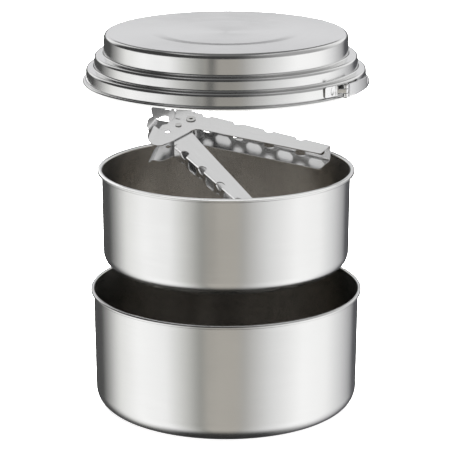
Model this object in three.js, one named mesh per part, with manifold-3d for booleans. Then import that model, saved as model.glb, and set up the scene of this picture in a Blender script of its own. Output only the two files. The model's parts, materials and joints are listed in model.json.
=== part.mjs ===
// A cooking pot set for the trail: a large pot, a small pot that nests in it, a stepped lid that fits
// both and has two grips that fold out from its rim, and a pot lifter of two hinged channel arms.
// Millimetres, +Z up, origin at the centre of the large pot's base. The set stands taken apart in a
// column: large pot, small pot, lifter, lid.
import * as THREE from "three";
import { mergeVertices } from "three/addons/utils/BufferGeometryUtils.js";
import Module from "manifold-3d";

const wasm = await Module();
wasm.setup();

// ---- driving dimensions ----
const FACETS = 48; // round each spun vessel
const HOLE_FACETS = 12; // round each hole, pin and rivet
const FILLET_STEPS = [[3, 22.5], [1, 45], [0, 90]]; // degrees per facet in fillets above each radius
const WELD = 1e-4; // vertices closer than this are one
const OVERSHOOT = 1; // of a cutting tool past the face it opens
const SHEET = 0.6; // steel of the pots and the lid
const GAP = 0.3; // between pieces that touch

const LARGE = { rim: 92.1, top: 90.2, bottom: 89.2, height: 82.2, corner: 12, flare: 0.9 };
const SMALL = { rim: 86.5, top: 83.6, bottom: 83.0, height: 66.6, corner: 9.5, flare: 1.5 };
const RIM_ROLL = { radius: 0.95, drop: 1.9 }; // each rim is rolled outwards and down
const SMALL_BASE_Z = 98.4; // height at which the small pot hangs over the large one

const LID_Z = 223.7; // underside of the lid's bead
const LID_HEIGHT = 33.5;
const LID_WALLS = [80.7, 87.1, 92.7]; // mid-sheet radii of the three steps, top to bottom
const LID_LEDGES = [18.9, 10.4]; // mid-sheet heights of the two ledges above LID_Z
const LID_EDGE_RADIUS = 4.2;
const STEP_FILLET = { inner: 1, outer: 1.8 }; // of each step's two bends
const PANEL_INNER = 40; // the plateau's sunk round panel, and the ring that slopes up from it
const PANEL_OUTER = 50;
const PANEL_DROP = 1.3;
const PANEL_FILLET = 6;
const BEAD_OUTER = 95.0; // the lid's rim is turned out, down and a little way back in
const BEAD_HEIGHT = 2.4;
const BEAD_TUCK = 1.5;
const BEAD_FILLET = 0.8;

const GRIP_SHEET = 0.8; // the two grips that fold flat round the lid's rim
const GRIP_HINGE_RADIUS = 97.4; // of the hinge pins, from the lid's axis
const GRIP_ANGLES = { right: -38.5, left: 133.5 }; // degrees from +X to each hinge pin
const GRIP_ARC = 18.5; // degrees from the hinge pin to the grip's free end
const GRIP_ROLL_RADIUS = 0.9; // of the rolled free end
const GRIP_LOW = 2.4; // heights above LID_Z
const GRIP_HIGH = 10.1;
const GRIP_FACET = 4; // degrees of arc per facet, at most
const LEAF = { from: -9.6, to: -2.6, low: 3.1 }; // degrees from the hinge pin, welded to the skirt
const LEAF_OVERLAP = 0.3; // degrees by which the leaf runs under the strip that leaves it
const SHOULDER_GAP = 0.7; // between the bracket's shoulder and the grip's knuckles
const KNUCKLE_RADIUS = 1.8;
const KNUCKLE = { low: 5, high: 7.6 }; // the bracket's; the grip's two are above and below it
const GRIP_PIN = { shaft: 0.8, head: 1.4, headHeight: 0.5 };
const HEAD_OVERLAP = 0.1; // of a pin's or rivet's shaft into its heads

const ARM_SHEET = 0.9;
const LIFTER_WIDTH = 12.9; // over the outer arm's two side plates
const INNER_INSET = ARM_SHEET + GAP; // the inner arm runs between the outer arm's plates
const OUTER_ARM_LENGTH = 101;
const INNER_ARM_LENGTH = 117;
const BEND_HOLE = { radius: 3.8, spread: 3 }; // spread: along the plates, either side of the bend
const HOLE_PITCH = 24;
const OUTER_HOLES = { first: 6.9, count: 4 }; // u of the first hole over the bends
const INNER_HOLES = { first: 38.7, count: 4 };
const WINDOW = { length: 12, width: 7.4, chamfer: 2.4 }; // long eight-sided holes in the arms' webs
const WINDOW_MARGIN = 2; // least sheet between a window and the arm's end
const TONGUE_SLIT = { path: [[-17.6, -10], [-13.2, -2.6], [-10.6, 2.9], [-7.2, 2.4]], width: 1.1 };
const RIVET = { u: 0, v: 0, shaft: 2.2, head: 3.3, thickness: 0.7, bore: 1.2 };
const STOP_RIVET = { u: -3.8, v: 11, shaft: 1.2, head: 2.1, thickness: 0.6, bore: 0 };
const STOP_SLOT = { from: 57, to: 100, halfWidth: 1.6 }; // degrees round the pivot, inner arm
const PRESS_HOLE = { u: -6.4, v: 21.6, radius: 1.8 };
const LIFTER_PIVOT = new THREE.Vector3(-24, 38.3, 188.8);
const LIFTER_TURN = { roll: 194.7, pitch: 6.4, heading: -27 }; // degrees

// ---- materials ----
const brushedSteel = new THREE.MeshStandardMaterial({ color: 0xc4c4c2, roughness: 0.32, metalness: 1 });
const polishedSteel = new THREE.MeshStandardMaterial({ color: 0xcfcfce, roughness: 0.18, metalness: 1 });
const lifterSteel = new THREE.MeshStandardMaterial({ color: 0xbebebd, roughness: 0.28, metalness: 1 });
const rivetSteel = new THREE.MeshStandardMaterial({ color: 0x8e8e8c, roughness: 0.4, metalness: 1 });

// ---- solids ----
function toSolid(geometry) {
  const bare = geometry.index ? geometry.toNonIndexed() : geometry.clone();
  bare.deleteAttribute("normal");
  bare.deleteAttribute("uv");
  const merged = mergeVertices(bare, WELD);
  const index = merged.index.array;
  const triangles = [];
  for (let i = 0; i < index.length; i += 3) {
    const [a, b, c] = index.slice(i, i + 3);
    if (a !== b && b !== c && a !== c) triangles.push(a, b, c);
  }
  return new wasm.Manifold(
    new wasm.Mesh({
      numProp: 3,
      vertProperties: merged.attributes.position.array,
      triVerts: new Uint32Array(triangles),
    }),
  );
}

function toGeometry(solid) {
  const mesh = solid.getMesh();
  const geometry = new THREE.BufferGeometry();
  geometry.setAttribute("position", new THREE.BufferAttribute(mesh.vertProperties, mesh.numProp));
  geometry.setIndex(new THREE.BufferAttribute(mesh.triVerts, 1));
  geometry.computeVertexNormals();
  return geometry;
}

function named(name, geometry, material) {
  const mesh = new THREE.Mesh(geometry, material);
  mesh.name = name;
  return mesh;
}

function join(solids) {
  return solids.reduce((whole, solid) => whole.add(solid));
}

function cut(solid, tools) {
  return tools.reduce((rest, tool) => rest.subtract(tool), solid);
}

// A flat shape raised from z = low to z = high.
function slab(shape, low, high) {
  const geometry = new THREE.ExtrudeGeometry(shape, {
    depth: high - low,
    bevelEnabled: false,
    curveSegments: HOLE_FACETS,
  });
  geometry.translate(0, 0, low);
  return toSolid(geometry);
}

function shapeOf(points) {
  return new THREE.Shape(points.map(([x, y]) => new THREE.Vector2(x, y)));
}

// A round bar of the given radius from one point to another.
function bar(from, to, radius, facets = HOLE_FACETS) {
  const start = new THREE.Vector3(...from);
  const along = new THREE.Vector3(...to).sub(start);
  const geometry = new THREE.CylinderGeometry(radius, radius, along.length(), facets);
  const turn = new THREE.Quaternion().setFromUnitVectors(
    new THREE.Vector3(0, 1, 0),
    along.clone().normalize(),
  );
  geometry.applyQuaternion(turn);
  geometry.translate(...start.addScaledVector(along, 0.5).toArray());
  return toSolid(geometry);
}

// ---- spun sheet metal ----
// Rounds the corners of a path: each corner is [radius from the axis, height, fillet radius].
function filleted(corners) {
  const points = [];
  corners.forEach(([x, y, fillet], i) => {
    const here = new THREE.Vector2(x, y);
    if (!fillet || i === 0 || i === corners.length - 1) {
      points.push(here);
      return;
    }
    const before = new THREE.Vector2(...corners[i - 1].slice(0, 2)).sub(here).normalize();
    const after = new THREE.Vector2(...corners[i + 1].slice(0, 2)).sub(here).normalize();
    const half = Math.acos(THREE.MathUtils.clamp(before.dot(after), -1, 1)) / 2;
    const bisector = before.clone().add(after).normalize();
    const centre = here.clone().addScaledVector(bisector, fillet / Math.sin(half));
    const reach = fillet / Math.tan(half);
    const start = here.clone().addScaledVector(before, reach).sub(centre);
    const sweep = (Math.PI - 2 * half) * Math.sign(before.cross(after));
    const facet = FILLET_STEPS.find(([radius]) => fillet > radius)[1];
    const steps = Math.max(1, Math.round(THREE.MathUtils.radToDeg(Math.abs(sweep)) / facet));
    for (let k = 0; k <= steps; k++) {
      const turned = start.clone().rotateAround(new THREE.Vector2(), (-sweep * k) / steps);
      points.push(turned.add(centre));
    }
  });
  return points;
}

// Closed outline of a sheet whose middle follows the path, which starts on the axis.
function sheetOutline(path, thickness) {
  const sides = [1, -1].map((side) =>
    path.map((point, i) => {
      const previous = path[Math.max(0, i - 1)];
      const next = path[Math.min(path.length - 1, i + 1)];
      const into = point.clone().sub(previous).normalize();
      const out = next.clone().sub(point).normalize();
      const tangent = into.add(out).normalize();
      const offset = (side * thickness) / 2;
      return new THREE.Vector2(
        i === 0 ? 0 : point.x + tangent.y * offset,
        point.y - tangent.x * offset,
      );
    }),
  );
  return [...sides[0], ...sides[1].reverse()];
}

function spun(path, thickness) {
  const geometry = new THREE.LatheGeometry(sheetOutline(path, thickness), FACETS);
  geometry.rotateX(Math.PI / 2);
  return toSolid(geometry);
}

function pot({ rim, top, bottom, height, corner, flare }) {
  const half = SHEET / 2;
  const path = filleted([
    [0, half, 0],
    [bottom - half, half, corner],
    [top - half, height - half, flare],
    [rim - half, height - half, RIM_ROLL.radius],
    [rim - half, height - half - RIM_ROLL.drop, 0],
  ]);
  return toGeometry(spun(path, SHEET));
}

// ---- lid ----
function lidShell() {
  const half = SHEET / 2;
  const top = LID_HEIGHT - half;
  const [upper, middle, lower] = LID_WALLS;
  const [upperLedge, lowerLedge] = LID_LEDGES;
  const path = filleted([
    [0, top - PANEL_DROP, 0],
    [PANEL_INNER, top - PANEL_DROP, PANEL_FILLET],
    [PANEL_OUTER, top, PANEL_FILLET],
    [upper, top, LID_EDGE_RADIUS],
    [upper, upperLedge, STEP_FILLET.inner],
    [middle, upperLedge, STEP_FILLET.outer],
    [middle, lowerLedge, STEP_FILLET.inner],
    [lower, lowerLedge, STEP_FILLET.outer],
    [lower, BEAD_HEIGHT, BEAD_FILLET],
    [BEAD_OUTER, BEAD_HEIGHT, BEAD_FILLET],
    [BEAD_OUTER, half, BEAD_FILLET],
    [BEAD_OUTER - BEAD_TUCK, half, 0],
  ]);
  return toGeometry(spun(path, SHEET));
}

const SKIRT_OUTER = LID_WALLS[2] + SHEET / 2;

// A grip's pieces are drawn with its hinge pin on the +X axis and heights from LID_Z.

// Part of a flat band that stands on edge round the lid's axis, between two angles in degrees.
function band(inner, from, to, low, high) {
  const shape = new THREE.Shape();
  const steps = Math.ceil((to - from) / GRIP_FACET);
  const at = (radius, k) => {
    const angle = THREE.MathUtils.degToRad(from + ((to - from) * k) / steps);
    return [radius * Math.cos(angle), radius * Math.sin(angle)];
  };
  shape.moveTo(...at(inner, 0));
  for (let k = 0; k <= steps; k++) shape.lineTo(...at(inner + GRIP_SHEET, k));
  for (let k = steps; k > 0; k--) shape.lineTo(...at(inner, k));
  shape.closePath();
  return slab(shape, low, high);
}

function upright(radius, low, high) {
  return bar([GRIP_HINGE_RADIUS, 0, low], [GRIP_HINGE_RADIUS, 0, high], radius);
}

function gripBracket() {
  const leafRadius = SKIRT_OUTER + GAP;
  const foot = new THREE.Vector2(leafRadius, 0).rotateAround(
    new THREE.Vector2(),
    THREE.MathUtils.degToRad(LEAF.to - LEAF_OVERLAP),
  );
  const hinge = new THREE.Vector2(GRIP_HINGE_RADIUS, 0);
  const step = hinge.clone().sub(foot);
  const room = KNUCKLE_RADIUS + SHOULDER_GAP;
  const shoulder = foot.clone().addScaledVector(step, 1 - room / step.length());
  const run = (end) => [end.toArray(), foot.toArray()];
  const solid = join([
    band(leafRadius, LEAF.from, LEAF.to, LEAF.low, GRIP_HIGH),
    strip(run(shoulder), GRIP_SHEET, LEAF.low, GRIP_HIGH),
    strip(run(hinge), GRIP_SHEET, KNUCKLE.low, KNUCKLE.high),
    upright(KNUCKLE_RADIUS, KNUCKLE.low, KNUCKLE.high),
  ]);
  return toGeometry(solid.subtract(pinBore()));
}

function pinBore() {
  return upright(GRIP_PIN.shaft + GAP, GRIP_LOW - OVERSHOOT, GRIP_HIGH + OVERSHOOT);
}

function grip() {
  const inner = GRIP_HINGE_RADIUS - GRIP_SHEET / 2;
  const clear = KNUCKLE_RADIUS + GAP; // room round the bracket's knuckle
  const end = new THREE.Vector2(GRIP_HINGE_RADIUS, 0)
    .rotateAround(new THREE.Vector2(), THREE.MathUtils.degToRad(GRIP_ARC))
    .toArray();
  const solid = join([
    band(inner, 0, GRIP_ARC, GRIP_LOW, GRIP_HIGH),
    upright(KNUCKLE_RADIUS, GRIP_LOW, GRIP_HIGH),
    bar([...end, GRIP_LOW], [...end, GRIP_HIGH], GRIP_ROLL_RADIUS),
  ]);
  return toGeometry(
    cut(solid, [upright(clear, KNUCKLE.low - GAP, KNUCKLE.high + GAP), pinBore()]),
  );
}

function gripPin() {
  const { shaft, head, headHeight } = GRIP_PIN;
  const [low, high] = [GRIP_LOW - GAP, GRIP_HIGH + GAP];
  return toGeometry(
    join([
      upright(shaft, low - HEAD_OVERLAP, high + HEAD_OVERLAP),
      upright(head, low - headHeight, low),
      upright(head, high, high + headHeight),
    ]),
  );
}

// ---- pot lifter, drawn flat: u along the outer arm, v across its side plates, z through them ----
const OUTER_PLATE = [
  [OUTER_ARM_LENGTH, -10.2],
  [OUTER_ARM_LENGTH - 1, 4.1],
  [13, 9.3],
  [9, 10.4],
  [7.6, 13.6],
  [2.6, 32.5],
  [-0.6, 39.8],
  [-3, 41.6],
  [-7.2, 41.7],
  [-13.6, 20.4],
  [-14.1, 15.1],
  [-11.6, 12.6],
  [-12.1, 9.8],
  [-18.3, -0.8],
  [-19.8, -5.6],
  [-18.4, -8.1],
  [-9, -10.6],
  [-2, -11.9],
];
const OUTER_BACK = [[-2, -11.9], [OUTER_ARM_LENGTH, -10.2]];
const OUTER_LIP = [[-13.6, 20.4], [-7.2, 41.7]];
const OUTER_LIP_REACH = 3.4;

const INNER_PLATE = [
  [INNER_ARM_LENGTH, 8.8],
  [INNER_ARM_LENGTH, 18.6],
  [26, 24.8],
  [19, 21.5],
  [6, 14.5],
  [-5, 12],
  [-11, 9.6],
  [-14.1, 11],
  [-16.8, 12.8],
  [-15.2, 17.8],
  [-3.9, 30],
  [-7.5, 30.2],
  [-13, 27.4],
  [-16.8, 25],
  [-18.8, 20.6],
  [-29.7, 17.1],
  [-31, 14.6],
  [-19.6, 4.6],
  [-6, -7.6],
  [0, -9],
  [6.5, -6.6],
  [13, 6.2],
  [30, 7],
];
const INNER_BACK = [[26, 24.8], [INNER_ARM_LENGTH, 18.6]];
const INNER_GRIP = [[-15.2, 17.8], [-3.9, 30]];
const INNER_GRIP_DEPTH = 3.8;
const OPEN_ANGLE = THREE.MathUtils.degToRad(36.5);

// A strip of sheet that runs along the line from one point to another, on its left.
function strip([[x0, y0], [x1, y1]], thickness, low, high) {
  const length = Math.hypot(x1 - x0, y1 - y0);
  const [nx, ny] = [(-(y1 - y0) / length) * thickness, ((x1 - x0) / length) * thickness];
  return slab(shapeOf([[x0, y0], [x1, y1], [x1 + nx, y1 + ny], [x0 + nx, y0 + ny]]), low, high);
}

function along([[x0, y0], [x1, y1]], u) {
  const share = (u - x0) / (x1 - x0);
  return [u, y0 + share * (y1 - y0)];
}

// Round holes punched over both bends of a channel before folding, and long windows between them.
function channelHoles(back, { first, count }, low, high) {
  const { radius, spread } = BEND_HOLE;
  const holes = [];
  for (let k = 0; k < count; k++) {
    const [u, v] = along(back, first + k * HOLE_PITCH);
    holes.push(bar([u, v, low - OVERSHOOT], [u, v, low + ARM_SHEET + WELD], radius));
    holes.push(bar([u, v, high - ARM_SHEET - WELD], [u, v, high + OVERSHOOT], radius));
    holes.push(bar([u, v - spread, low], [u, v + spread, low], radius));
    holes.push(bar([u, v - spread, high], [u, v + spread, high], radius));
    const [windowU, windowV] = along(back, first + (k + 0.5) * HOLE_PITCH);
    if (windowU + WINDOW.length / 2 > back[1][0] - WINDOW_MARGIN) continue;
    holes.push(webWindow(windowU, windowV, (low + high) / 2));
  }
  return holes;
}

function webWindow(u, v, middle) {
  const [a, b, c] = [WINDOW.length / 2, WINDOW.width / 2, WINDOW.chamfer];
  const outline = [
    [a, b - c], [a - c, b], [c - a, b], [-a, b - c],
    [-a, c - b], [c - a, -b], [a - c, -b], [a, c - b],
  ];
  const depth = 2 * (ARM_SHEET + BEND_HOLE.spread);
  const geometry = new THREE.ExtrudeGeometry(shapeOf(outline), { depth, bevelEnabled: false });
  geometry.rotateX(Math.PI / 2);
  geometry.translate(u, v + depth / 2, middle);
  return toSolid(geometry);
}

// The spring tongue's slit: a thin bent slot that opens at the head's back edge.
function tongueSlit(low, high) {
  const { path, width } = TONGUE_SLIT;
  return path.slice(1).map((point, i) => strip([path[i], point], width, low, high));
}

// A flared lip on the outer jaw: it leaves the plate's outer face along a bend line.
function flaredLip([[x0, y0], [x1, y1]], face, outward) {
  const direction = new THREE.Vector3(x1 - x0, y1 - y0, 0);
  const length = direction.length();
  direction.normalize();
  const aside = new THREE.Vector3(-direction.y, direction.x, 0);
  const reach = OUTER_LIP_REACH;
  const back = -outward * ARM_SHEET;
  const section = shapeOf([
    [-ARM_SHEET, 0],
    [0, 0],
    [reach, outward * reach],
    [reach, outward * reach + back * Math.SQRT2],
    [0, back],
    [-ARM_SHEET, back],
  ]);
  const geometry = new THREE.ExtrudeGeometry(section, { depth: length, bevelEnabled: false });
  const across = new THREE.Vector3(0, 0, 1);
  const basis = new THREE.Matrix4().makeBasis(aside, across, aside.clone().cross(across));
  const forward = aside.clone().cross(across).dot(direction);
  basis.setPosition(forward > 0 ? x0 : x1, forward > 0 ? y0 : y1, face);
  geometry.applyMatrix4(basis);
  return toSolid(geometry);
}

function drilled(u, v, radius, low, high) {
  return bar([u, v, low - OVERSHOOT], [u, v, high + OVERSHOOT], radius);
}

function outerArm() {
  const [low, high] = [0, LIFTER_WIDTH];
  const plates = [
    slab(shapeOf(OUTER_PLATE), low, low + ARM_SHEET),
    slab(shapeOf(OUTER_PLATE), high - ARM_SHEET, high),
  ];
  const web = strip(OUTER_BACK, ARM_SHEET, low, high);
  const lips = [flaredLip(OUTER_LIP, low, -1), flaredLip(OUTER_LIP, high, 1)];
  const through = (u, v, radius) => drilled(u, v, radius, low, high);
  return cut(join([...plates, web, ...lips]), [
    through(RIVET.u, RIVET.v, RIVET.shaft + GAP),
    through(STOP_RIVET.u, STOP_RIVET.v, STOP_RIVET.shaft + GAP),
    through(PRESS_HOLE.u, PRESS_HOLE.v, PRESS_HOLE.radius),
    ...tongueSlit(low - OVERSHOOT, high + OVERSHOOT),
    ...channelHoles(OUTER_BACK, OUTER_HOLES, low, high),
  ]);
}

function stopSlot(low, high) {
  const radius = Math.hypot(STOP_RIVET.u, STOP_RIVET.v);
  const [from, to] = [STOP_SLOT.from, STOP_SLOT.to].map(THREE.MathUtils.degToRad);
  const shape = new THREE.Shape();
  shape.absarc(0, 0, radius + STOP_SLOT.halfWidth, from, to, false);
  shape.absarc(0, 0, radius - STOP_SLOT.halfWidth, to, from, true);
  shape.closePath();
  return slab(shape, low, high);
}

function innerArm() {
  const [low, high] = [INNER_INSET, LIFTER_WIDTH - INNER_INSET];
  const plates = [
    slab(shapeOf(INNER_PLATE), low, low + ARM_SHEET),
    slab(shapeOf(INNER_PLATE), high - ARM_SHEET, high),
  ];
  const web = strip([...INNER_BACK].reverse(), ARM_SHEET, low, high);
  const grips = [
    strip(INNER_GRIP, ARM_SHEET, low, low + INNER_GRIP_DEPTH),
    strip(INNER_GRIP, ARM_SHEET, high - INNER_GRIP_DEPTH, high),
  ];
  return cut(join([...plates, web, ...grips]), [
    drilled(RIVET.u, RIVET.v, RIVET.shaft + GAP, low, high),
    stopSlot(low - OVERSHOOT, high + OVERSHOOT),
    ...channelHoles(INNER_BACK, INNER_HOLES, low, high),
  ]);
}

// A rivet through both arms; a tubular one has a bore.
function rivet({ u, v, shaft, head, thickness, bore }) {
  const [low, high] = [-GAP - thickness, LIFTER_WIDTH + GAP + thickness];
  const body = join([
    bar([u, v, low + thickness - HEAD_OVERLAP], [u, v, high - thickness + HEAD_OVERLAP], shaft),
    bar([u, v, low], [u, v, low + thickness], head),
    bar([u, v, high - thickness], [u, v, high], head),
  ]);
  if (!bore) return toGeometry(body);
  return toGeometry(body.subtract(drilled(u, v, bore, low, high)));
}

// ---- assembly ----
function lidGroup() {
  const group = new THREE.Group();
  const lid = named("lid", lidShell(), brushedSteel);
  lid.position.z = LID_Z;
  group.add(lid);
  for (const [side, angle] of Object.entries(GRIP_ANGLES)) {
    const hinged = new THREE.Group();
    hinged.position.z = LID_Z;
    hinged.rotation.z = THREE.MathUtils.degToRad(angle);
    hinged.add(named("lid_grip_bracket_" + side, gripBracket(), polishedSteel));
    hinged.add(named("lid_grip_" + side, grip(), polishedSteel));
    hinged.add(named("lid_grip_pin_" + side, gripPin(), rivetSteel));
    group.add(hinged);
  }
  return group;
}

function lifterGroup() {
  const group = new THREE.Group();
  const { roll, pitch, heading } = LIFTER_TURN;
  group.position.copy(LIFTER_PIVOT);
  group.rotation.set(
    ...[roll, pitch, heading].map(THREE.MathUtils.degToRad),
    "ZYX",
  );
  group.add(named("lifter_outer_arm", toGeometry(outerArm()), lifterSteel));
  const inner = named("lifter_inner_arm", toGeometry(innerArm()), lifterSteel);
  inner.rotation.z = OPEN_ANGLE;
  group.add(inner);
  group.add(named("lifter_pivot_rivet", rivet(RIVET), rivetSteel));
  group.add(named("lifter_stop_rivet", rivet(STOP_RIVET), rivetSteel));
  return group;
}

function potSet() {
  const set = new THREE.Group();
  set.add(named("large_pot", pot(LARGE), brushedSteel));
  const small = named("small_pot", pot(SMALL), brushedSteel);
  small.position.z = SMALL_BASE_Z;
  set.add(small, lifterGroup(), lidGroup());
  return set;
}

export default potSet();
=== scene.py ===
"""A cooking pot set taken apart in a column: a large pot, a small pot, a pot lifter and a stepped lid.

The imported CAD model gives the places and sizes. This script gives each piece a fine mesh and its
steel finish, and adds the floor, the studio light and the camera. Shapes are drawn in millimetres.
"""

import json
import math

import bmesh
import bpy
from mathutils import Euler, Matrix, Vector
from mathutils.geometry import delaunay_2d_cdt


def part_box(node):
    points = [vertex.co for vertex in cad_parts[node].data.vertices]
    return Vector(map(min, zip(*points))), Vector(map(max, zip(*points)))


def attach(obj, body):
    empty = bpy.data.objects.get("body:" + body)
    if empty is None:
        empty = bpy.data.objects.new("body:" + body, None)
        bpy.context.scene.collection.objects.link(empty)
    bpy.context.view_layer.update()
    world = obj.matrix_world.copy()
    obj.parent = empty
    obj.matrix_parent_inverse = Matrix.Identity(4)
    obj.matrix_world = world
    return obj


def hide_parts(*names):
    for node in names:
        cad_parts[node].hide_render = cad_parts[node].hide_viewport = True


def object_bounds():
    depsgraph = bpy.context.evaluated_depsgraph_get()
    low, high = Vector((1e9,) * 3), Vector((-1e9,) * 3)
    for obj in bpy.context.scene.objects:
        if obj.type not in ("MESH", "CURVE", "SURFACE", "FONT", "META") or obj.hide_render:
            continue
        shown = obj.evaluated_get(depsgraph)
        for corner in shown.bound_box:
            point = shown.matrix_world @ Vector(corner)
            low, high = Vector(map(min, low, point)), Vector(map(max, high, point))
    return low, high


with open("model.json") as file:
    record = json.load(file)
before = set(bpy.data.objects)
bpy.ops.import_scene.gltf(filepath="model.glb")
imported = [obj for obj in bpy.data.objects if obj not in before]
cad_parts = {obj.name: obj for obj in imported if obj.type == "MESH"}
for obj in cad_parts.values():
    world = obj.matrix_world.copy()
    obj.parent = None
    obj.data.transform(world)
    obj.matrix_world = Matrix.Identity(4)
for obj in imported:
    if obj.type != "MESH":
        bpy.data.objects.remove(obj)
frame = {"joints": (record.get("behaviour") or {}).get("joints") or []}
cad_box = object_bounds()

MM = 0.001
GAP = 0.3  # clearance between pieces that move or that are riveted together

# ---- sizes, in millimetres ----
SHEET = 0.6
LARGE_POT = {"top": 90.2, "bottom": 89.2, "corner": 12.0, "flare": 0.9}
SMALL_POT = {"top": 83.6, "bottom": 83.0, "corner": 9.5, "flare": 1.5}
RIM_ROLL = {"radius": 0.93, "drop": 1.9, "tuck": 0.9}  # the rims roll outwards and down
LIP_MARGIN = 0.01  # tells points on the lip from points on the wall below it
TURNED_SEGMENTS = 256  # facets round the pots and the lid

LID_WALLS = (80.7, 87.1, 92.7)  # mid-sheet radii of the three steps, top to bottom
LID_LEDGES = (18.9, 10.4)  # mid-sheet heights of the two ledges
LID_FILLETS = {"edge": 2.8, "ledge_inner": 1.3, "ledge_outer": 1.8, "bead_inner": 0.7}
LID_DRAFT = 0.2  # each wall's top leans in, and its foot out, by this much
LEDGE_FALL = 0.5  # each ledge is higher at its inner edge by this much
PANEL = {"inner": 41.0, "outer": 50.0, "drop": 0.5, "fillet": 40.0}
BEAD = {"outer": 95.0, "height": 2.4, "tuck": 1.5, "upper_fillet": 0.9, "lower_fillet": 0.8}

GRIP_SHEET = 0.8
GRIP_ARC = 18.5  # degrees from a grip's hinge pin to its free end
GRIP_FOOT = 2.6  # degrees from the pin to where the plate reaches the pin's radius
GRIP_END = 0.4  # degrees from the plate's end to the end of the arc, for the roll
GRIP_ROLL = {"radius": 0.75, "sweep": 250}
GRIP_LOW, GRIP_HIGH = 2.4, 10.1
GRIP_SIDES = ("right", "left")
LEAF = {"radius": 93.7, "from": -9.6, "to": -2.9, "low": 3.1, "shoulder": 1.0}
EYE_RADIUS = 1.4  # mid-sheet radius of the eyes rolled round the hinge pins
EYE_WRAP = {"grip": 235, "bracket": 285}  # degrees that each eye goes round the pin
KNUCKLE_LOW, KNUCKLE_HIGH = 5.0, 7.6
FREE_CORNER, SHOULDER_CORNER, KNUCKLE_CORNER, SLOT_CORNER = 0.9, 0.5, 0.3, 0.2
GRIP_PIN = {"shaft": 0.8, "head": 1.4, "head_height": 0.5}
WELD_MARK = {"angle": -5.6, "height": 6.6, "half_width": 1.7, "half_height": 2.8, "depth": 0.32,
             "slope": 0.45}  # the slope is the share of the mark that its rounded side takes
MARK_RINGS = (0.35, 0.6, 0.8, 0.92, 1.0)  # shares of its size at which the mesh follows its shape
PIN_FILLETS = {"head": 0.3, "under_head": 0.1, "shaft": 0.05, "bore": 0.45}
PIN_EASE = 0.45  # a head's fillet takes at most this share of its height
PIN_SEGMENTS, PIN_FACET = 48, 15.0

ARM_SHEET = 0.9
LIFTER_WIDTH = 12.9
LIFTER_TURN = Euler([math.radians(a) for a in (194.7, 6.4, -27.0)])
OPEN_ANGLE = math.radians(36.5)
BEND_RADIUS = 1.5  # mid-sheet
HOLE_PITCH = 24.0
BEND_HOLE = (3.8, 3.1)  # half sizes in the flat blank
WINDOW = {"length": 12.0, "width": 7.4, "chamfer": 2.4, "corner": 0.9, "margin": 2.0}
OUTER_HOLES = {"first": 6.9, "count": 4}  # u of the first bend hole, and how many there are
INNER_HOLES = {"first": 38.7, "count": 4}
PIVOT = {"shaft": 2.2, "head": 3.3, "thickness": 0.7, "bore": 1.2}
STOP = {"u": -3.8, "v": 11.0, "shaft": 1.2, "head": 2.1, "thickness": 0.6}
STOP_SLOT = {"from": 57.0, "to": 100.0, "half_width": 1.6}
PRESS_HOLE = {"u": -6.4, "v": 21.6, "radius": 1.8}
EDGE_BEVEL = 0.12
BEVEL_ANGLE = 50  # degrees; gentler bends get no bevel
OVERSHOOT = 1.0  # creases are drawn past the blank's outline by this much
WELD = 0.01  # points of a blank that are closer than this are one
ON_AXIS = 1e-6  # an outline's points with a smaller radius are on the axis


# ---- outlines ----
def arc_points(centre, start, sweep, facet):
    """Points that turn start (a vector from centre) through sweep, about facet degrees apart."""
    steps = max(2, math.ceil(abs(math.degrees(sweep)) / facet))
    return [centre + rotated(start, sweep * k / steps) for k in range(steps + 1)]


def rotated(vector, angle):
    c, s = math.cos(angle), math.sin(angle)
    return Vector((c * vector.x - s * vector.y, s * vector.x + c * vector.y))


def corner_arc(before, here, after, radius, facet):
    """The corner at here rounded to the radius, or as far as the neighbouring edges allow."""
    into, out = (before - here), (after - here)
    shortest = min(into.length, out.length)
    into.normalize()
    out.normalize()
    half = math.acos(max(-1.0, min(1.0, into.dot(out)))) / 2
    if radius <= 0 or half > math.radians(89.5):
        return [here]
    reach = min(radius / math.tan(half), 0.49 * shortest)
    radius = reach * math.tan(half)
    centre = here + (into + out).normalized() * (radius / math.sin(half))
    start = here + into * reach - centre
    turn = into.x * out.y - into.y * out.x
    return arc_points(centre, start, -math.copysign(math.pi - 2 * half, turn), facet)


def rounded_path(corners, facet=7.5, support=0.25):
    """An open path through corners (x, y, radius). A point close to each arc's ends keeps the
    flats beside it flat when they are shaded smooth."""
    spots = [Vector(c[:2]) for c in corners]
    path = [spots[0]]
    for i in range(1, len(corners) - 1):
        arc = corner_arc(spots[i - 1], spots[i], spots[i + 1], corners[i][2], facet)
        for end, towards in ((arc[0], path[-1]), (arc[-1], spots[i + 1])):
            away = towards - end
            extra = end + away.normalized() * support
            if end is arc[0]:
                if away.length > 3 * support:
                    path.append(extra)
                path += arc
            elif away.length > 3 * support:
                path.append(extra)
    path.append(spots[-1])
    return path


def rounded_loop(points, radius, facet=18.0):
    """A closed outline with its corners rounded. A point may carry its own radius."""
    loop = []
    spots = [Vector(p[:2]) for p in points]
    for i, point in enumerate(points):
        own = point[2] if len(point) > 2 else radius
        loop += corner_arc(spots[i - 1], spots[i], spots[(i + 1) % len(spots)], own, facet)
    return loop


def sheet_sides(path, thickness):
    """The two faces of a sheet whose middle follows the path from the axis, and its round edge."""
    tangents = []
    for i in range(len(path)):
        into = (path[i] - path[max(0, i - 1)]).normalized()
        out = (path[min(len(path) - 1, i + 1)] - path[i]).normalized()
        tangents.append((into + out).normalized())
    half = thickness / 2
    sides = []
    for side in (half, -half):
        points = [Vector((p.x + t.y * side, p.y - t.x * side)) for p, t in zip(path, tangents)]
        points[0].x = 0
        sides.append(points)
    start = sides[0][-1] - path[-1]
    edge = arc_points(path[-1], start, math.pi, 30.0)[1:-1]
    return sides[0], edge, sides[1][::-1]


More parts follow.
